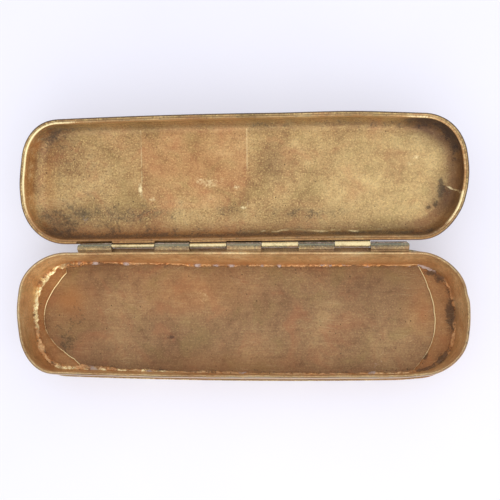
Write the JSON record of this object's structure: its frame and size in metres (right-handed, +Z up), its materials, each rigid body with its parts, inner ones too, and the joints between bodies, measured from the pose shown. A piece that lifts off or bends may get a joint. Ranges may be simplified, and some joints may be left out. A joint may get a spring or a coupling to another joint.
{
  "type": "needle case",
  "caption": "Oblong antique brass case with bowed ends, a deep base and a shallow lid on a rolled-knuckle back hinge, shown lying open.",
  "frame": {"origin": "centre of the base plate's underside, level with what the case stands on", "axes": "+X along the case, +Y from the front of the base towards the hinge and the open lid, +Z up"},
  "size_m": [0.1612, 0.0959, 0.0275],
  "materials": {
    "base_floor_brass": "heavily toned, reddish brown with darker specks",
    "base_wall_brass": "toned golden brown, drawn marks along the strip, worn bright rim",
    "lid_floor_brass": "toned golden olive, fine dark and light speckle",
    "lid_wall_brass": "toned brown, dirt in the corners",
    "rim_band_brass": "worn satin brass with a bright inner edge",
    "hinge_brass": "rubbed, with grey-green tarnish",
    "hinge_wire": "dull drawn wire",
    "spelter_solder": "rough lumpy hard solder"
  },
  "bodies": {
    "base": {"base_plate": "base_floor_brass", "base_wall": "base_wall_brass", "base_solder": "spelter_solder", "base_crescent_left": "base_floor_brass", "base_crescent_right": "base_floor_brass", "base_hinge_leaf": "hinge_brass", "hinge_pin": "hinge_wire"},
    "lid": {"lid_plate": "lid_floor_brass", "lid_wall": "lid_wall_brass", "lid_rim_band": "rim_band_brass", "lid_solder": "spelter_solder", "lid_hinge_leaf": "hinge_brass"}
  },
  "joints": [
    {"name": "lid_hinge", "type": "hinge", "parent": "base", "child": "lid", "pos_m": [0, 0.02405, 0.01625], "axis": [1, 0, 0], "range_deg": [-14, 166]}
  ]
}
